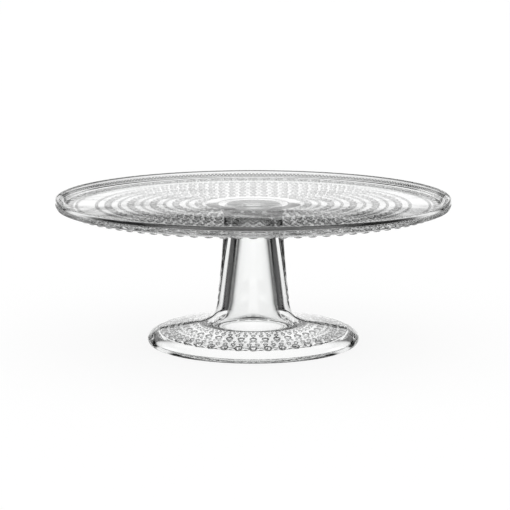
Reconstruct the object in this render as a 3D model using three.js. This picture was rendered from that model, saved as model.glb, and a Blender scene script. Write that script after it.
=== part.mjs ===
// A footed cake stand in clear pressed glass. A round plate with a raised rim sits on a waisted,
// hollow pedestal, and a disc of clear adhesive joins the two. Rows of glass beads under the plate
// and under the foot are drawn here as plain round ribs of the same width and depth.
// Millimetres, +Z up, origin at the middle of the circle that the foot stands on.
import * as THREE from "three";

// Driving dimensions
const FACETS = 64; // flats round each turned piece, divisible by four
const HEIGHT = 118.5; // from the table to the top of the rim
const PLATE_RADIUS = 157.5;
const FOOT_RADIUS = 85.2;

// Plate
const RIM_RISE = 5.5; // top of the rim above the serving face
const RIM_WALL = 2; // width of the rim's top
const RIM_ROUND = 0.9; // rounding of the rim's upper edge
const RIM_FACE = 6.4; // height of the upright face round the rim, with its fine beads
const SERVING_RADIUS = 147; // the serving face is flat out to here
const UNDERSIDE_RADIUS = 151.6; // and the underside out to here
const PLATE_WALL = 3.5; // glass between the serving face and the underside
const PLATE_RELIEF = 1.5; // depth of the beads, and of the smooth pad over the stem
const PAD_RADIUS = 28.4;
const ROW_FIRST = 44; // radius of the innermost row of large beads
const ROW_STEP = 18; // from one row of large beads to the next
const ROW_COUNT = 5;
const LARGE_WIDTH = 6.4;
const MEDIUM_WIDTH = 3.4; // rows of medium beads lie midway between the rows of large ones
const MEDIUM_DEPTH = 0.9;
const FINE_ROW = { radius: 140.8, width: 2.7, depth: 0.8 };
const EDGE_ROW = { radius: 147, width: 7.8 };

// Adhesive disc
const BOND_THICKNESS = 0.4;
const BOND_RADIUS = 21;

// Pedestal
const STEM_TOP_RADIUS = 23;
const STEM_MIDDLE = { radius: 27.2, height: 50 };
const STEM_BASE = { radius: 29.2, height: 31 };
const EDGE_ROUND = 1.2; // rounding of the stem's top edge
const BORE_CROWN = 6; // glass between the end of the bore and the adhesive
const BORE_END_RADIUS = 12.3;
const BORE_BASE = { radius: 19.6, height: 31 };
const CONE_TOP_RADIUS = 43; // the stem's curve meets the cone of the foot here
const CONE_SLOPE = 0.165; // fall of the cone for each millimetre outwards
const FOOT_WALL = 5; // height of the glass between the cone's two faces
const FOOT_EDGE = 11.1; // height of the cone where the edge's rounding starts
const FOOT_SHOULDER = 8.7; // rounding of the foot's upper edge, measured inwards
const FOOT_ROUND = 2.6; // rounding of the foot's lower edge, measured inwards
const FOOT_CONTACT = 77.3; // inner radius of the ring that touches the table
const FOOT_HOLLOW = 74.9; // a slanting wall leads from the ring up to the hollow's roof here
const FOOT_HOLLOW_FLARE = 38.2; // and curves up into the bore from here
const FOOT_RELIEF = 1.8; // depth of the beads under the foot
const FOOT_ROWS = [71.4, 53.6]; // radii of the rows of large beads under the foot
const FOOT_ROW_WIDTH = 6;

// Levels that follow from the sizes above
const servingFace = HEIGHT - RIM_RISE;
const plateUnderside = servingFace - PLATE_WALL;
const padFace = plateUnderside - PLATE_RELIEF;
const stemTop = padFace - BOND_THICKNESS;
const boreEnd = stemTop - BORE_CROWN;

// Carries an outline inwards along a face, over one rib of trapezium section that stands `depth`
// below the face. `level` gives the face's height at a radius.
function rib(outline, radius, width, depth, level) {
  const foot = width / 2;
  const crown = width / 4;
  outline.lineTo(radius + foot, level(radius + foot));
  outline.lineTo(radius + crown, level(radius + crown) - depth);
  outline.lineTo(radius - crown, level(radius - crown) - depth);
  outline.lineTo(radius - foot, level(radius - foot));
}

// Turns an outline of (radius, height) round +Z into a closed solid. The outlines run down the
// outside, and a lathe's faces point outwards when its outline runs up it, so the order is reversed.
function turned(outline, divisions) {
  const points = outline.getPoints(divisions).reverse();
  return new THREE.LatheGeometry(points, FACETS).rotateX(Math.PI / 2);
}

function plateOutline() {
  const underside = () => plateUnderside;
  const outline = new THREE.Path();
  const rimInside = PLATE_RADIUS - RIM_WALL;
  const faceFoot = HEIGHT - RIM_FACE;
  outline.moveTo(0, servingFace);
  outline.lineTo(SERVING_RADIUS, servingFace);
  const rise = { x: rimInside - 3.2, y: HEIGHT - 3.4 };
  outline.bezierCurveTo(SERVING_RADIUS + 4.4, servingFace, rise.x, rise.y, rimInside - 0.4, HEIGHT - 0.6);
  outline.quadraticCurveTo(rimInside, HEIGHT, rimInside + 0.9, HEIGHT);
  outline.lineTo(PLATE_RADIUS - RIM_ROUND, HEIGHT);
  outline.quadraticCurveTo(PLATE_RADIUS, HEIGHT, PLATE_RADIUS, HEIGHT - RIM_ROUND);
  outline.lineTo(PLATE_RADIUS, faceFoot);
  outline.quadraticCurveTo(PLATE_RADIUS, faceFoot - 0.9, PLATE_RADIUS - 0.9, faceFoot - 1.2);
  outline.lineTo(UNDERSIDE_RADIUS, plateUnderside);
  rib(outline, EDGE_ROW.radius, EDGE_ROW.width, PLATE_RELIEF, underside);
  rib(outline, FINE_ROW.radius, FINE_ROW.width, FINE_ROW.depth, underside);
  for (let row = ROW_COUNT - 1; row >= 0; row -= 1) {
    const radius = ROW_FIRST + row * ROW_STEP;
    rib(outline, radius + ROW_STEP / 2, MEDIUM_WIDTH, MEDIUM_DEPTH, underside);
    rib(outline, radius, LARGE_WIDTH, PLATE_RELIEF, underside);
  }
  outline.lineTo(PAD_RADIUS + 1, plateUnderside);
  outline.lineTo(PAD_RADIUS, padFace);
  outline.lineTo(0, padFace);
  return outline;
}

function bondOutline() {
  const outline = new THREE.Path();
  outline.moveTo(0, padFace);
  outline.lineTo(BOND_RADIUS, padFace);
  outline.lineTo(BOND_RADIUS, stemTop);
  outline.lineTo(0, stemTop);
  return outline;
}

// The stem narrows upwards, spreads at its base into a shallow cone, and the cone ends in a thick
// rounded edge. The bore follows the stem, is closed at the top, and opens into the hollow foot.
function pedestalOutline() {
  const shoulder = FOOT_RADIUS - FOOT_SHOULDER;
  const topFace = (radius) => FOOT_EDGE + (shoulder - radius) * CONE_SLOPE;
  const underFace = (radius) => topFace(radius) - FOOT_WALL;
  const coneTop = topFace(CONE_TOP_RADIUS);
  const outline = new THREE.Path();
  outline.moveTo(0, stemTop);
  outline.lineTo(STEM_TOP_RADIUS - EDGE_ROUND, stemTop);
  outline.quadraticCurveTo(STEM_TOP_RADIUS, stemTop, STEM_TOP_RADIUS + 0.1, stemTop - EDGE_ROUND);
  outline.bezierCurveTo(24.2, 86, 25.6, 66, STEM_MIDDLE.radius, STEM_MIDDLE.height);
  outline.lineTo(STEM_BASE.radius, STEM_BASE.height);
  outline.bezierCurveTo(30.1, 23.7, 32.8, 20.3, CONE_TOP_RADIUS, coneTop);
  outline.lineTo(shoulder, FOOT_EDGE);
  outline.bezierCurveTo(shoulder + 2.8, FOOT_EDGE - 0.7, FOOT_RADIUS - 1, 7.6, FOOT_RADIUS, 4);
  outline.bezierCurveTo(FOOT_RADIUS + 0.1, 1.8, FOOT_RADIUS - 0.8, 0, FOOT_RADIUS - FOOT_ROUND, 0);
  outline.lineTo(FOOT_CONTACT, 0);
  outline.lineTo(FOOT_HOLLOW, underFace(FOOT_HOLLOW));
  for (const radius of FOOT_ROWS) rib(outline, radius, FOOT_ROW_WIDTH, FOOT_RELIEF, underFace);
  outline.lineTo(FOOT_HOLLOW_FLARE, underFace(FOOT_HOLLOW_FLARE));
  outline.bezierCurveTo(28.8, 14.8, 20.9, 20.5, BORE_BASE.radius, BORE_BASE.height);
  outline.lineTo(BORE_END_RADIUS, boreEnd - 7);
  outline.bezierCurveTo(BORE_END_RADIUS - 0.5, boreEnd - 2, 8, boreEnd, 0, boreEnd);
  return outline;
}

// Materials
const glass = new THREE.MeshStandardMaterial({
  color: 0xf4f8f7,
  roughness: 0.03,
  metalness: 0,
  transparent: true,
  opacity: 0.35,
});
const adhesive = new THREE.MeshStandardMaterial({
  color: 0xf8faf8,
  roughness: 0.1,
  metalness: 0,
  transparent: true,
  opacity: 0.35,
});

function piece(name, outline, divisions, material) {
  const mesh = new THREE.Mesh(turned(outline, divisions), material);
  mesh.name = name;
  return mesh;
}

const stand = new THREE.Group();
stand.add(piece("plate", plateOutline(), 3, glass));
stand.add(piece("adhesive_disc", bondOutline(), 1, adhesive));
stand.add(piece("pedestal", pedestalOutline(), 4, glass));

export default stand;
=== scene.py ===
"""A footed cake stand in clear pressed glass: plate, adhesive disc and pedestal, with their beads."""

import math
from collections import namedtuple

import bmesh
import bpy
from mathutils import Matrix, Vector
from mathutils.geometry import interpolate_bezier


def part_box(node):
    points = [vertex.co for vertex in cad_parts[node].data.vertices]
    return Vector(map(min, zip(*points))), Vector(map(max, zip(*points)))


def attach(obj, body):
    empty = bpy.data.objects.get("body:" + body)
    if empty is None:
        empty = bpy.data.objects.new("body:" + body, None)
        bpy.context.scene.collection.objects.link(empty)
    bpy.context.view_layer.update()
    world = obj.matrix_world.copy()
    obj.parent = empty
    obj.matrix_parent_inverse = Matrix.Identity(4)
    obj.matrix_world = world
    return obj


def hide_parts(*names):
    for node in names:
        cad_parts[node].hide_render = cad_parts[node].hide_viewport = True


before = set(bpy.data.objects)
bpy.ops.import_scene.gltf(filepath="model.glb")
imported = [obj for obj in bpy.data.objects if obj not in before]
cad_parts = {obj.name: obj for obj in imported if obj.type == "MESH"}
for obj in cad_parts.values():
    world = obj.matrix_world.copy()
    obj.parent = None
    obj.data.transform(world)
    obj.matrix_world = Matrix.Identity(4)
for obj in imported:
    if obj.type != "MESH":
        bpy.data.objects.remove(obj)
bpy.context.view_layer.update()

bl_info = {
    "name": "Pressed-glass cake stand",
    "version": (1, 0, 0),
    "blender": (4, 5, 0),
    "location": "3D View > Sidebar > Cake Stand",
    "description": "Builds a footed cake stand in clear pressed glass on its packed frame",
    "category": "Object",
}

MM = 0.001
TURN = 2 * math.pi
POLE = 0.0001 * MM  # vertices this close to the axis are made one
TOUCHING = 0.002 * MM  # tolerance for finding a circle's vertices and for joining a seam's
JOIN_LIFT = 5 * MM  # how far one circle is lifted while it is joined to another
CROWN_ANGLE = math.radians(64)  # a bead's flat crown starts this far up its quarter ellipse
TURNED_STEPS = 240  # flats round the plate and the pedestal

PLATE_LOW, PLATE_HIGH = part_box("plate")
_, STEM_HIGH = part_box("pedestal")
BOND_LOW, BOND_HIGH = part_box("adhesive_disc")

HEIGHT = PLATE_HIGH.z
PLATE_RADIUS = PLATE_HIGH.x
FOOT_RADIUS = STEM_HIGH.x
PAD_FACE = PLATE_LOW.z
STEM_TOP = STEM_HIGH.z
BOND_RADIUS = BOND_HIGH.x

# A row of beads round the axis, on a face that falls outwards by the angle `slope`. `bead` is the
# radius of a bead's base, and `depth` is how far it stands out. `reach` is half the width of the
# band of face that the row brings with it. A bead has `sides` round it, and `rings` of faces
# between its base and its crown.
Row = namedtuple("Row", "radius height slope count bead depth reach sides rings")


class StandSettings(bpy.types.PropertyGroup):
    """Sizes and colours of the stand that a user would change."""

    large_bead: bpy.props.FloatProperty(
        name="Large bead", description="Radius of a large bead at its base",
        default=3.2 * MM, unit="LENGTH")
    medium_bead: bpy.props.FloatProperty(
        name="Medium bead", description="Radius of a medium bead at its base",
        default=1.9 * MM, unit="LENGTH")
    fine_bead: bpy.props.FloatProperty(
        name="Fine bead", description="Radius of a fine bead at its base",
        default=1.05 * MM, unit="LENGTH")
    edge_bead: bpy.props.FloatProperty(
        name="Edge bead", description="Radius of the beads that hang under the plate's edge",
        default=3.9 * MM, unit="LENGTH")
    glass: bpy.props.FloatVectorProperty(
        name="Glass", description="Tint of the pressed glass", subtype="COLOR",
        default=(0.985, 0.99, 0.987), min=0, max=1)
    adhesive: bpy.props.FloatVectorProperty(
        name="Adhesive", description="Tint of the clear adhesive", subtype="COLOR",
        default=(0.985, 0.99, 0.985), min=0, max=1)


# ---- Shader nodes ----------------------------------------------------------

class Value:
    """A number in a node tree, so that sums on it add Math nodes."""

    def __init__(self, tree, socket):
        self.tree = tree
        self.socket = socket

    def _math(self, operation, *values):
        node = self.tree.nodes.new("ShaderNodeMath")
        node.operation = operation
        for slot, value in zip(node.inputs, values):
            if isinstance(value, Value):
                self.tree.links.new(value.socket, slot)
            else:
                slot.default_value = value
        return Value(self.tree, node.outputs[0])

    def __add__(self, other):
        return self._math("ADD", self, other)

    def __radd__(self, other):
        return self._math("ADD", other, self)

    def __sub__(self, other):
        return self._math("SUBTRACT", self, other)

    def __rsub__(self, other):
        return self._math("SUBTRACT", other, self)

    def __mul__(self, other):
        return self._math("MULTIPLY", self, other)

    def __rmul__(self, other):
        return self._math("MULTIPLY", other, self)

    def __abs__(self):
        return self._math("ABSOLUTE", self)

    def degrees_from(self, other):
        """Degrees between the other value's axis and the direction that the two values give."""
        return self._math("ARCTAN2", self, other) * math.degrees(1)

    def arcsine_degrees(self):
        return self._math("ARCSINE", self) * math.degrees(1)

    def larger(self, other):
        return self._math("MAXIMUM", self, other)


class Shader:
    """The node tree of a material or a world."""

    def __init__(self, owner):
        owner.use_nodes = True
        self.tree = owner.node_tree
        self.tree.nodes.clear()

    def node(self, kind, settings=None, inputs=None):
        """Adds a node, sets it, then fills its sockets with values, Values or sockets."""
        node = self.tree.nodes.new(kind)
        for name, value in (settings or {}).items():
            setattr(node, name, value)
        for name, value in (inputs or {}).items():
            socket = node.inputs[name]
            if isinstance(value, Value):
                self.tree.links.new(value.socket, socket)
            elif isinstance(value, bpy.types.NodeSocket):
                self.tree.links.new(value, socket)
            else:
                socket.default_value = value
        return node

    def value(self, node, output):
        return Value(self.tree, node.outputs[output])

    def step(self, value, low, high):
        """0 below `low`, 1 above `high`, and smooth between; the other way round if high < low."""
        turned = low > high
        node = self.node("ShaderNodeMapRange", {"interpolation_type": "SMOOTHSTEP"}, {
            "Value": value, "From Min": min(low, high), "From Max": max(low, high),
            "To Min": 1.0 if turned else 0.0, "To Max": 0.0 if turned else 1.0})
        return self.value(node, "Result")


# ---- Meshes ----------------------------------------------------------------

def outline(start, *stretches):
    """Points (radius, height) from `start` along straight stretches, given by their end, and curved
    ones, given by two handles, an end and a number of steps."""
    points = [Vector((start[0], 0, start[1]))]
    for stretch in stretches:
        if len(stretch) == 2:
            points.append(Vector((stretch[0], 0, stretch[1])))
            continue
        first, second, end, steps = stretch
        knots = [Vector((r, 0, z)) for r, z in (first, second, end)]
        points += interpolate_bezier(points[-1], *knots, steps + 1)[1:]
    return points


def edges_of(geometry):
    return [g for g in geometry if isinstance(g, bmesh.types.BMEdge)]


def verts_of(geometry):
    return [g for g in geometry if isinstance(g, bmesh.types.BMVert)]


def faces_of(geometry):
    return [g for g in geometry if isinstance(g, bmesh.types.BMFace)]


def add_part(bm, part):
    """Moves a finished part of a piece into the piece's mesh."""
    mesh = bpy.data.meshes.new("part")
    part.to_mesh(mesh)
    part.free()
    bm.from_mesh(mesh)
    bpy.data.meshes.remove(mesh)


def spin_outline(bm, points, steps):
    """Turns an outline once round the axis. Where it meets the axis, the pole is closed."""
    part = bmesh.new()
    verts = [part.verts.new(point) for point in points]
    edges = [part.edges.new(pair) for pair in zip(verts, verts[1:])]
    bmesh.ops.spin(part, geom=verts + edges, cent=(0, 0, 0), axis=(0, 0, 1), dvec=(0, 0, 0),
                   angle=TURN, steps=steps, use_merge=True, use_duplicate=False)
    at_pole = [v for v in part.verts if v.co.xy.length < POLE]
    bmesh.ops.remove_doubles(part, verts=at_pole, dist=POLE)
    for face in part.faces:
        face.smooth = True
    add_part(bm, part)


def circle_at(bm, radius, height):
    """The open edges that lie on one circle round the axis."""
    def lies(v):
        return abs(v.co.xy.length - radius) < TOUCHING and abs(v.co.z - height) < TOUCHING
    return [e for e in bm.edges if e.is_boundary and lies(e.verts[0]) and lies(e.verts[1])]


def join_circles(bm, first, second, smooth):
    """Closes the gap between two open circles, each given as (radius, height)."""
    edges, other = circle_at(bm, *first), circle_at(bm, *second)
    if not edges or not other:
        raise RuntimeError(f"no open circle at {second if edges else first}")
    # Circles in one plane can come out twisted, so the first is lifted while they are joined.
    lifted = {v for edge in edges for v in edge.verts}
    for v in lifted:
        v.co.z += JOIN_LIFT
    made = bmesh.ops.bridge_loops(bm, edges=edges + other)["faces"]
    for v in lifted:
        v.co.z -= JOIN_LIFT
    inmost = 0.99 * min(first[0], second[0])
    for face in made:
        face.smooth = smooth
        if face.calc_center_median().xy.length < inmost:
            raise RuntimeError(f"the band between {first} and {second} is twisted")


def count_for(radius, pitch):
    """How many beads, one `pitch` apart, go round a row."""
    return round(TURN * radius / pitch)


def row_edges(row):
    """The (radius, height) of the inner and outer circle of a row's band."""
    across, down = row.reach * math.cos(row.slope), row.reach * math.sin(row.slope)
    return (row.radius - across, row.height + down), (row.radius + across, row.height - down)


def bead_cell(bm, row):
    """One bead with its share of the band, at +Y. The bead is half of an ellipsoid, cut flat at
    its crown."""
    along = Vector((0, math.cos(row.slope), -math.sin(row.slope)))
    down = Vector((0, -math.sin(row.slope), -math.cos(row.slope)))
    middle = Vector((0, row.radius, row.height))

    # The base has a vertex towards each corner of the bead's share of the band.
    base = bmesh.ops.create_circle(bm, cap_ends=False, radius=row.bead, segments=row.sides)["verts"]
    turn = math.pi / 4 % (TURN / row.sides)
    for v in base:
        angle = math.atan2(v.co.y, v.co.x) + turn
        v.co = Vector((math.cos(angle), math.sin(angle), 0)) * row.bead
    base_edges = list(bm.edges)
    flat = {v: v.co.copy() for v in base}

    ring, width = base_edges, 1.0
    for step in range(1, row.rings + 1):
        angle = CROWN_ANGLE * step / row.rings
        grown = bmesh.ops.extrude_edge_only(bm, edges=ring)["geom"]
        ring = edges_of(grown)
        for v in verts_of(grown):
            v.co.xy *= math.cos(angle) / width
            v.co.z = row.depth * math.sin(angle) / math.sin(CROWN_ANGLE)
            flat[v] = v.co.copy()
        width = math.cos(angle)
    crown = bmesh.ops.contextual_create(bm, geom=ring)["faces"]
    for face in bm.faces:
        face.smooth = face not in crown

    # Faces run from the base out to the share's four sides.
    border = bmesh.ops.extrude_edge_only(bm, edges=base_edges)["geom"]
    for face in faces_of(border):
        face.smooth = row.slope != 0
    for v in verts_of(border):
        side = max(abs(v.co.x), abs(v.co.y))
        turned, out = v.co.x / side * math.pi / row.count, v.co.y / side * row.reach
        radius = row.radius + out * math.cos(row.slope)
        v.co = (radius * math.sin(turned), radius * math.cos(turned),
                row.height - out * math.sin(row.slope))
    for v, place in flat.items():
        v.co = middle + Vector((place.x, 0, 0)) + along * place.y + down * place.z
    for edge in base_edges:
        edge.smooth = False


def bead_row(bm, row):
    """Adds a whole row of beads, with the band of face between them."""
    cell = bmesh.new()
    bead_cell(cell, row)
    everything = list(cell.verts) + list(cell.edges) + list(cell.faces)
    bmesh.ops.spin(cell, geom=everything, cent=(0, 0, 0), axis=(0, 0, 1), dvec=(0, 0, 0),
                   angle=TURN * (row.count - 1) / row.count, steps=row.count - 1,
                   use_merge=False, use_duplicate=True)
    seams = [v for v in cell.verts if v.is_boundary]
    bmesh.ops.remove_doubles(cell, verts=seams, dist=TOUCHING)
    add_part(bm, cell)


def finish_piece(bm, name, material):
    """Checks that the surface is closed, faces it outwards and makes the object."""
    bmesh.ops.recalc_face_normals(bm, faces=bm.faces)
    loose = sum(1 for edge in bm.edges if len(edge.link_faces) != 2)
    if loose:
        raise RuntimeError(f"{name} has {loose} edges that don't close")
    if bm.calc_volume(signed=True) < 0:
        bmesh.ops.reverse_faces(bm, faces=bm.faces)
    mesh = bpy.data.meshes.new(name)
    bm.to_mesh(mesh)
    bm.free()
    mesh.materials.append(material)
    piece = bpy.data.objects.new(name, mesh)
    bpy.context.scene.collection.objects.link(piece)
    return piece


# ---- Materials -------------------------------------------------------------

def clear_material(name, tint, index, ripple, ripple_size):
    """A clear, polished material with faint ripples in its surface, made once and shared."""
    made = bpy.data.materials.get(name)
    if made:
        return made
    material = bpy.data.materials.new(name)
    shader = Shader(material)
    place = shader.node("ShaderNodeTexCoord").outputs["Object"]
    waves = shader.node("ShaderNodeTexNoise", {"noise_dimensions": "3D"}, {
        "Vector": place, "Scale": 1 / ripple_size, "Detail": 1.0, "Roughness": 0.4})
    bump = shader.node("ShaderNodeBump", None, {
        "Strength": 1.0, "Distance": ripple, "Height": waves.outputs["Fac"]})
    surface = shader.node("ShaderNodeBsdfPrincipled", None, {
        "Base Color": (*tint, 1), "Roughness": 0.0, "IOR": index,
        "Transmission Weight": 1.0, "Normal": bump.outputs["Normal"]})
    shader.node("ShaderNodeOutputMaterial", None, {"Surface": surface.outputs["BSDF"]})
    return material


def stand_glass(settings):
    """Soda-lime glass with the slow ripples that pressing leaves."""
    return clear_material("stand_glass", settings.glass, index=1.51, ripple=0.04 * MM,
                          ripple_size=30 * MM)


def stand_adhesive(settings):
    """Cured clear adhesive."""
    return clear_material("stand_adhesive", settings.adhesive, index=1.5, ripple=0.02 * MM,
                          ripple_size=10 * MM)


# ---- Plate -----------------------------------------------------------------

SERVING_FACE = HEIGHT - 5.5 * MM
UNDERSIDE = SERVING_FACE - 3.5 * MM
PAD_RADIUS = 28.4 * MM  # the smooth pad over the stem
SERVING_RADIUS = 147 * MM  # the serving face is flat out to here
UNDERSIDE_RADIUS = 151.6 * MM  # and the underside out to here
RIM_ROUND = 0.9 * MM
RIM_FACE_FOOT = HEIGHT - 3 * MM  # the smooth part of the upright face ends here
RIM_ROW_HEIGHT = HEIGHT - 4.9 * MM
RIM_ROW_COUNT = 300
RIM_BEAD = 1.25 * MM
RIM_BEAD_DEPTH = 0.6 * MM
ROW_FIRST = 44 * MM  # radius of the innermost row of large beads
ROW_STEP = 18 * MM  # rows of medium beads lie midway between the rows of large ones
ROW_COUNT = 5
LARGE_PITCH = 9 * MM
MEDIUM_PITCH = 4.6 * MM
FINE_ROW_RADIUS = 140.8 * MM
FINE_ROW_COUNT = 290
EDGE_ROW_RADIUS = 147 * MM
EDGE_ROW_COUNT = 84
PLATE_LARGE_DEPTH = 1.5 * MM
PLATE_MEDIUM_DEPTH = 0.9 * MM
PLATE_FINE_DEPTH = 0.8 * MM


def plate_rows(settings):
    """The rows of beads under the plate, from the middle outwards. Its medium beads are smaller
    than the foot's, and its fine ones larger."""
    rows = []
    large, edge = settings.large_bead, settings.edge_bead
    medium, fine = settings.medium_bead * 0.75, settings.fine_bead * 1.1
    for index in range(ROW_COUNT):
        radius = ROW_FIRST + ROW_STEP * index
        rows.append(Row(radius, UNDERSIDE, 0, count_for(radius, LARGE_PITCH), large,
                        PLATE_LARGE_DEPTH, large + 0.3 * MM, 12, 3))
        radius += ROW_STEP / 2
        rows.append(Row(radius, UNDERSIDE, 0, count_for(radius, MEDIUM_PITCH), medium,
                        PLATE_MEDIUM_DEPTH, medium + 0.25 * MM, 8, 2))
    rows.append(Row(FINE_ROW_RADIUS, UNDERSIDE, 0, FINE_ROW_COUNT, fine,
                    PLATE_FINE_DEPTH, fine + 0.2 * MM, 8, 2))
    rows.append(Row(EDGE_ROW_RADIUS, UNDERSIDE, 0, EDGE_ROW_COUNT, edge,
                    PLATE_LARGE_DEPTH, edge + 0.2 * MM, 12, 3))
    return rows


def rim_row():
    """The fine beads round the lower part of the rim's upright face."""
    return Row(PLATE_RADIUS - RIM_BEAD_DEPTH, RIM_ROW_HEIGHT, -math.pi / 2, RIM_ROW_COUNT, RIM_BEAD,
               RIM_BEAD_DEPTH, RIM_BEAD + 0.25 * MM, 8, 2)


def build_plate(settings):
    """The plate's rows of beads, with the turned faces that join them into one closed skin."""
    bm = bmesh.new()
    rows = plate_rows(settings)
    for row in rows:
        bead_row(bm, row)
    fringe = rim_row()
    bead_row(bm, fringe)
    fringe_low, fringe_high = row_edges(fringe)

    edge, top = PLATE_RADIUS, HEIGHT
    upper = outline(
        fringe_high,
        ((edge - 0.3 * MM, fringe_high[1] + 0.1 * MM),
         (edge, RIM_FACE_FOOT - 0.2 * MM), (edge, RIM_FACE_FOOT), 4),
        # the smooth part of the upright face
        (edge, top - RIM_ROUND - 0.3 * MM),
        (edge, top - RIM_ROUND),
        # over the top of the rim
        ((edge, top - 0.4 * MM), (edge - 0.4 * MM, top), (edge - RIM_ROUND, top), 6),
        (edge - RIM_ROUND - 0.2 * MM, top),
        ((edge - 1.7 * MM, top), (edge - 2 * MM, top - 0.2 * MM), (edge - 2.4 * MM, top - 0.6 * MM), 5),
        # down its hollow inside, and in along the serving face in a few steps
        ((edge - 5.2 * MM, top - 3.4 * MM), (SERVING_RADIUS + 4.4 * MM, SERVING_FACE),
         (SERVING_RADIUS, SERVING_FACE), 18),
        (SERVING_RADIUS - 0.4 * MM, SERVING_FACE),
        (120 * MM, SERVING_FACE),
        (60 * MM, SERVING_FACE),
        (0, SERVING_FACE))
    spin_outline(bm, upper[1:], TURNED_STEPS)
    join_circles(bm, fringe_high, (upper[1].x, upper[1].z), True)

    # from the underside's edge out to the rim and up to its fine beads
    lower = outline(
        (UNDERSIDE_RADIUS, UNDERSIDE),
        (UNDERSIDE_RADIUS + 0.3 * MM, UNDERSIDE + 0.1 * MM),
        (edge - 1.8 * MM, UNDERSIDE + 1.2 * MM),
        ((edge - 1 * MM, UNDERSIDE + 1.4 * MM), (fringe_low[0], UNDERSIDE + 1.6 * MM),
         (fringe_low[0], UNDERSIDE + 2.2 * MM), 5),
        fringe_low)
    spin_outline(bm, lower[:-1], TURNED_STEPS)
    join_circles(bm, (lower[-2].x, lower[-2].z), fringe_low, True)
    join_circles(bm, row_edges(rows[-1])[1], (UNDERSIDE_RADIUS, UNDERSIDE), False)
    for inner, outer in zip(rows, rows[1:]):
        join_circles(bm, row_edges(inner)[1], row_edges(outer)[0], False)

    first_row = row_edges(rows[0])[0]
    pad_edge = (first_row[0] - 0.5 * MM, UNDERSIDE)
    pad = outline(
        pad_edge,
        (PAD_RADIUS + 0.8 * MM, UNDERSIDE),
        ((PAD_RADIUS + 0.3 * MM, UNDERSIDE), (PAD_RADIUS, PAD_FACE + 0.4 * MM),
         (PAD_RADIUS - 0.2 * MM, PAD_FACE), 5),
        (PAD_RADIUS - 0.5 * MM, PAD_FACE),
        (0, PAD_FACE))
    spin_outline(bm, pad, TURNED_STEPS)
    join_circles(bm, pad_edge, first_row, False)
    return bm


# ---- Pedestal --------------------------------------------------------------

CONE_SLOPE = 0.165  # fall of the foot's cone for each metre outwards
FOOT_EDGE = 11.1 * MM  # height of the cone where the edge's rounding starts
SHOULDER = FOOT_RADIUS - 8.7 * MM  # and its radius there
FOOT_WALL = 5 * MM  # height of the glass between the cone's two faces
CONE_TOP_RADIUS = 43 * MM  # the stem's curve meets the cone here
FOOT_CONTACT = 77.3 * MM  # inner radius of the ring that stands on the table
FOOT_HOLLOW = 74.9 * MM  # outer radius of the hollow's roof
FLARE_RADIUS = 36.6 * MM  # the roof curves up into the bore from here
BORE_CROWN = 6 * MM  # glass over the end of the bore
FOOT_LARGE_DEPTH = 1.8 * MM
FOOT_MEDIUM_DEPTH = 1.15 * MM
FOOT_FINE_DEPTH = 0.65 * MM
FOOT_LAST_DEPTH = 0.9 * MM


def cone_top(radius):
    """Height of the cone's upper face."""
    return FOOT_EDGE + (SHOULDER - radius) * CONE_SLOPE


def cone_under(radius):
    """Height of its lower face, which is the roof of the hollow."""
    return cone_top(radius) - FOOT_WALL


def foot_rows(settings):
    """The rows of beads under the foot, from the outside inwards."""
    large = (settings.large_bead * 0.94, FOOT_LARGE_DEPTH, 12, 4)
    medium = (settings.medium_bead, FOOT_MEDIUM_DEPTH, 12, 3)
    fine = (settings.fine_bead, FOOT_FINE_DEPTH, 8, 2)
    last = (settings.fine_bead * 1.1, FOOT_LAST_DEPTH, 8, 2)
    spacing = (  # radius of a row, distance between its beads, and its kind of bead
        (71.5 * MM, 11.2 * MM, large),
        (65.0 * MM, 6.3 * MM, medium),
        (59.6 * MM, 4.2 * MM, fine),
        (53.6 * MM, 9.4 * MM, large),
        (46.4 * MM, 6.1 * MM, medium),
        (42.2 * MM, 4.2 * MM, fine),
        (38.4 * MM, 3.1 * MM, last),
    )
    rows = []
    for radius, pitch, (bead, depth, sides, rings) in spacing:
        rows.append(Row(radius, cone_under(radius), math.atan(CONE_SLOPE), count_for(radius, pitch),
                        bead, depth, bead + 0.25 * MM, sides, rings))
    return rows


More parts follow.
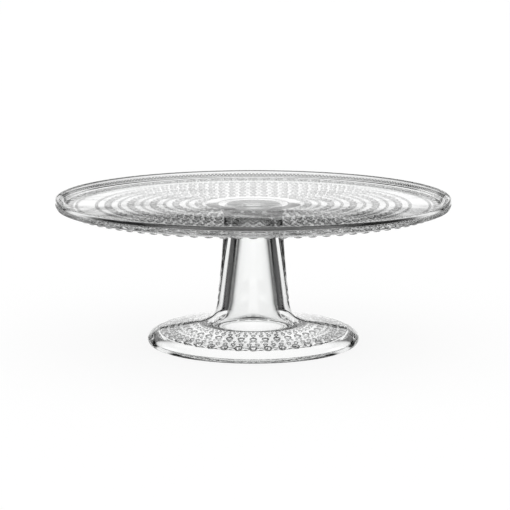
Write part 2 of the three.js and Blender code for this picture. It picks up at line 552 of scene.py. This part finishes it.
def build_pedestal(settings):
    """Stem and foot in one closed skin, from the stem's top over the foot and up into the bore."""
    bm = bmesh.new()
    rows = foot_rows(settings)
    for row in rows:
        bead_row(bm, row)
    for outer, inner in zip(rows, rows[1:]):
        join_circles(bm, row_edges(outer)[0], row_edges(inner)[1], True)
    first = row_edges(rows[0])[1]
    last = row_edges(rows[-1])[0]
    crown = cone_top(CONE_TOP_RADIUS)
    roof = cone_under(FOOT_HOLLOW)
    outside = outline(
        # the stem's flat top and rounded edge
        (0, STEM_TOP),
        (21.2 * MM, STEM_TOP),
        (21.8 * MM, STEM_TOP),
        ((22.5 * MM, STEM_TOP), (23 * MM, STEM_TOP - 0.5 * MM), (23.1 * MM, STEM_TOP - 1.2 * MM), 4),
        # down the stem, and out over its flare to the cone
        ((24.2 * MM, 86 * MM), (25.6 * MM, 66 * MM), (27.2 * MM, 50 * MM), 14),
        (29.2 * MM, 31 * MM),
        ((30.1 * MM, 23.7 * MM), (32.8 * MM, 20.3 * MM), (CONE_TOP_RADIUS, crown), 20),
        (CONE_TOP_RADIUS + 1 * MM, cone_top(CONE_TOP_RADIUS + 1 * MM)),
        (SHOULDER, FOOT_EDGE),
        # round the foot's thick edge to the ring that it stands on
        ((SHOULDER + 2.8 * MM, FOOT_EDGE - 0.7 * MM), (FOOT_RADIUS - 1 * MM, 7.6 * MM),
         (FOOT_RADIUS, 4 * MM), 16),
        ((FOOT_RADIUS + 0.1 * MM, 1.8 * MM), (FOOT_RADIUS - 0.8 * MM, 0),
         (FOOT_RADIUS - 2.6 * MM, 0), 8),
        (FOOT_RADIUS - 3 * MM, 0),
        (FOOT_CONTACT + 0.6 * MM, 0),
        # up to the hollow's roof and in to the first beads
        ((FOOT_CONTACT + 0.2 * MM, 0), (FOOT_CONTACT, 0.1 * MM), (FOOT_CONTACT - 0.2 * MM, 0.3 * MM), 3),
        (FOOT_HOLLOW + 0.5 * MM, roof - 0.5 * MM),
        ((FOOT_HOLLOW + 0.1 * MM, roof), (FOOT_HOLLOW, roof),
         (FOOT_HOLLOW - 0.4 * MM, cone_under(FOOT_HOLLOW - 0.4 * MM)), 3),
        first)
    spin_outline(bm, outside[:-1], TURNED_STEPS)
    join_circles(bm, (outside[-2].x, outside[-2].z), first, True)

    bore_end = STEM_TOP - BORE_CROWN
    inside = outline(
        (FLARE_RADIUS, cone_under(FLARE_RADIUS)),
        ((27.9 * MM, 15.4 * MM), (20.9 * MM, 21.1 * MM), (19.6 * MM, 31 * MM), 20),
        (19.2 * MM, 34.5 * MM),
        (12.3 * MM, bore_end - 7 * MM),
        ((11.8 * MM, bore_end - 2 * MM), (8 * MM, bore_end), (0, bore_end), 10))
    spin_outline(bm, inside, TURNED_STEPS)
    join_circles(bm, last, (FLARE_RADIUS, cone_under(FLARE_RADIUS)), True)
    return bm


# ---- Adhesive --------------------------------------------------------------

WETTING = 0.06 * MM  # how far the adhesive reaches into the glass on each side
MENISCUS = 0.15 * MM  # how far its edge curves in
BOND_STEPS = 96


def build_adhesive():
    """A thin disc that reaches a hair into the glass on both sides, as wetted glue does."""
    low, high = BOND_LOW.z - WETTING, BOND_HIGH.z + WETTING
    waist = BOND_RADIUS - MENISCUS
    points = outline(
        (0, high),
        (BOND_RADIUS - 0.3 * MM, high),
        (BOND_RADIUS, high),
        ((waist, high - 0.1 * MM), (waist, low + 0.1 * MM), (BOND_RADIUS, low), 5),
        (BOND_RADIUS - 0.3 * MM, low),
        (0, low))
    bm = bmesh.new()
    spin_outline(bm, points, BOND_STEPS)
    return bm


# ---- Stage -----------------------------------------------------------------

# Cards of light that the glass sees, in degrees. `turn` is the angle to either side of +Y, which
# lies beyond the stand, and `rise` is the angle above the horizon. Each card fades in between the
# first two angles and out between the last two. An angle that no direction has, such as a turn
# of -2 or 182 degrees, leaves the card without an end there.
Card = namedtuple("Card", "turn rise strength")
CARDS = (
    Card((-2, -1, 13, 30), (-34, -30, 8.3, 8.9), 1.05),  # beyond the stand, low down
    Card((-2, -1, 16, 30), (-42, -38, -5, 0), 0.38),  # a dimmer one, a little lower
    Card((-2, -1, 10, 22), (11.5, 13.5, 42, 52), 1),  # beyond the stand, higher up
    Card((-2, -1, 70, 90), (14, 18, 28, 36), 1),  # a long strip above the horizon
    Card((-2, -1, 181, 182), (50, 58, 91, 92), 0.25),  # overhead
    Card((-2, -1, 181, 182), (-92, -91, -64, -56), 0.12),  # straight below
    Card((28, 36, 52, 60), (-34, -29, -19, -15), 0.95),  # low down at the two far corners
    Card((74, 80, 100, 106), (-14, -9, 7, 12), 1),  # at the two sides
    Card((112, 119, 151, 158), (-30, -24, -7, -3), 1),  # low down at the two near corners
    Card((158, 168, 181, 182), (-14, -9, 9, 14), 1),  # on the near side, behind the camera
)
FLAG = 0.01  # brightness of the dark flags between the cards

FLOOR_SIZE = 6  # metres
FLOOR_DROP = 0.2 * MM  # the floor lies this far below the foot, so that their faces stay apart
FLOOR_COLOUR = (0.12, 0.12, 0.12, 1)
FLOOR_GLOW = 0.885  # makes up the rest of white where nothing shades the floor

CAMERA_PLACE = (0, -1.7, 0.3642)
CAMERA_TILT = 0.171  # radians below the horizon
CAMERA_LENS = 151.8
CAMERA_SHIFT = 0.0033


def studio_world():
    """White to the camera and to the floor. The glass sees cards of light between dark flags."""
    world = bpy.data.worlds.new("studio")
    bpy.context.scene.world = world
    world.cycles.sampling_method = "NONE"  # bounced rays find the cards without it
    shader = Shader(world)
    towards = shader.node("ShaderNodeTexCoord").outputs["Generated"]
    parts = shader.node("ShaderNodeSeparateXYZ", None, {"Vector": towards})
    x, y, z = (shader.value(parts, axis) for axis in "XYZ")
    turn = abs(x).degrees_from(y)
    rise = z.arcsine_degrees()
    seen = shader.value(shader.node("ShaderNodeValue"), "Value")
    seen.socket.default_value = FLAG
    for card in CARDS:
        light = card.strength
        for value, (low, full, still, end) in ((turn, card.turn), (rise, card.rise)):
            light = shader.step(value, low, full) * shader.step(value, end, still) * light
        seen = seen.larger(light)
    rays = shader.node("ShaderNodeLightPath")
    plain = shader.value(rays, "Is Camera Ray").larger(shader.value(rays, "Is Diffuse Ray"))
    strength = plain + seen * (1 - plain)
    background = shader.node("ShaderNodeBackground", None, {
        "Color": (1, 1, 1, 1), "Strength": strength})
    shader.node("ShaderNodeOutputWorld", None, {"Surface": background.outputs["Background"]})


def floor_material():
    """Pale floor that renders white where nothing shades it."""
    material = bpy.data.materials.new("floor")
    shader = Shader(material)
    diffuse = shader.node("ShaderNodeBsdfDiffuse", None, {"Color": FLOOR_COLOUR})
    glow = shader.node("ShaderNodeEmission", None, {"Color": (1, 1, 1, 1), "Strength": FLOOR_GLOW})
    both = shader.node("ShaderNodeAddShader")
    shader.tree.links.new(diffuse.outputs[0], both.inputs[0])
    shader.tree.links.new(glow.outputs[0], both.inputs[1])
    shader.node("ShaderNodeOutputMaterial", None, {"Surface": both.outputs[0]})
    return material


def build_floor():
    """A floor that takes the stand's shadow, and that the glass doesn't see."""
    bm = bmesh.new()
    bmesh.ops.create_grid(bm, x_segments=1, y_segments=1, size=FLOOR_SIZE)
    for v in bm.verts:
        v.co.z = -FLOOR_DROP
    mesh = bpy.data.meshes.new("floor")
    bm.to_mesh(mesh)
    bm.free()
    mesh.materials.append(floor_material())
    floor = bpy.data.objects.new("floor", mesh)
    bpy.context.scene.collection.objects.link(floor)
    floor.visible_transmission = False
    floor.visible_glossy = False


def build_camera():
    """A camera with a long lens that looks down at the stand a little."""
    camera = bpy.data.cameras.new("camera")
    camera.sensor_width = 36
    camera.lens = CAMERA_LENS
    camera.shift_x = CAMERA_SHIFT
    holder = bpy.data.objects.new("camera", camera)
    holder.location = CAMERA_PLACE
    holder.rotation_euler = (math.pi / 2 - CAMERA_TILT, 0, 0)
    bpy.context.scene.collection.objects.link(holder)
    bpy.context.scene.camera = holder


def build_stage():
    """Studio light, floor and camera, with enough bounces for light to pass through the glass."""
    studio_world()
    build_floor()
    build_camera()
    scene = bpy.context.scene
    scene.view_settings.view_transform = "Standard"
    scene.cycles.max_bounces = 32
    scene.cycles.transmission_bounces = 32
    scene.cycles.glossy_bounces = 16


# ---- Operators -------------------------------------------------------------

class OBJECT_OT_stand_plate(bpy.types.Operator):
    """Builds the pressed plate with its rim and beads"""

    bl_idname = "object.stand_plate"
    bl_label = "Plate"

    def execute(self, context):
        settings = context.scene.cake_stand
        piece = finish_piece(build_plate(settings), "pressed_plate", stand_glass(settings))
        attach(piece, "root")
        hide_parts("plate")
        return {"FINISHED"}


class OBJECT_OT_stand_pedestal(bpy.types.Operator):
    """Builds the hollow stem and beaded foot"""

    bl_idname = "object.stand_pedestal"
    bl_label = "Pedestal"

    def execute(self, context):
        settings = context.scene.cake_stand
        piece = finish_piece(build_pedestal(settings), "pressed_pedestal", stand_glass(settings))
        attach(piece, "root")
        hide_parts("pedestal")
        return {"FINISHED"}


class OBJECT_OT_stand_adhesive(bpy.types.Operator):
    """Builds the clear adhesive disc between plate and stem"""

    bl_idname = "object.stand_adhesive"
    bl_label = "Adhesive disc"

    def execute(self, context):
        settings = context.scene.cake_stand
        piece = finish_piece(build_adhesive(), "adhesive", stand_adhesive(settings))
        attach(piece, "root")
        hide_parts("adhesive_disc")
        return {"FINISHED"}


class OBJECT_OT_stand_stage(bpy.types.Operator):
    """Builds the floor, studio light and camera"""

    bl_idname = "object.stand_stage"
    bl_label = "Stage"

    def execute(self, context):
        build_stage()
        return {"FINISHED"}


class VIEW3D_PT_cake_stand(bpy.types.Panel):
    """Lists the stand's pieces"""

    bl_idname = "VIEW3D_PT_cake_stand"
    bl_label = "Cake Stand"
    bl_space_type = "VIEW_3D"
    bl_region_type = "UI"
    bl_category = "Cake Stand"

    def draw(self, context):
        settings = context.scene.cake_stand
        for name in ("large_bead", "medium_bead", "fine_bead", "edge_bead", "glass", "adhesive"):
            self.layout.prop(settings, name)
        for operator in OPERATORS:
            self.layout.operator(operator.bl_idname)


OPERATORS = (OBJECT_OT_stand_plate, OBJECT_OT_stand_pedestal, OBJECT_OT_stand_adhesive,
             OBJECT_OT_stand_stage)
CLASSES = (StandSettings, *OPERATORS, VIEW3D_PT_cake_stand)


def register():
    for cls in CLASSES:
        bpy.utils.register_class(cls)
    bpy.types.Scene.cake_stand = bpy.props.PointerProperty(type=StandSettings)


def unregister():
    del bpy.types.Scene.cake_stand
    for cls in reversed(CLASSES):
        bpy.utils.unregister_class(cls)


def main():
    register()
    bpy.ops.object.stand_plate()
    bpy.ops.object.stand_pedestal()
    bpy.ops.object.stand_adhesive()
    bpy.ops.object.stand_stage()


if __name__ == "__main__":
    main()
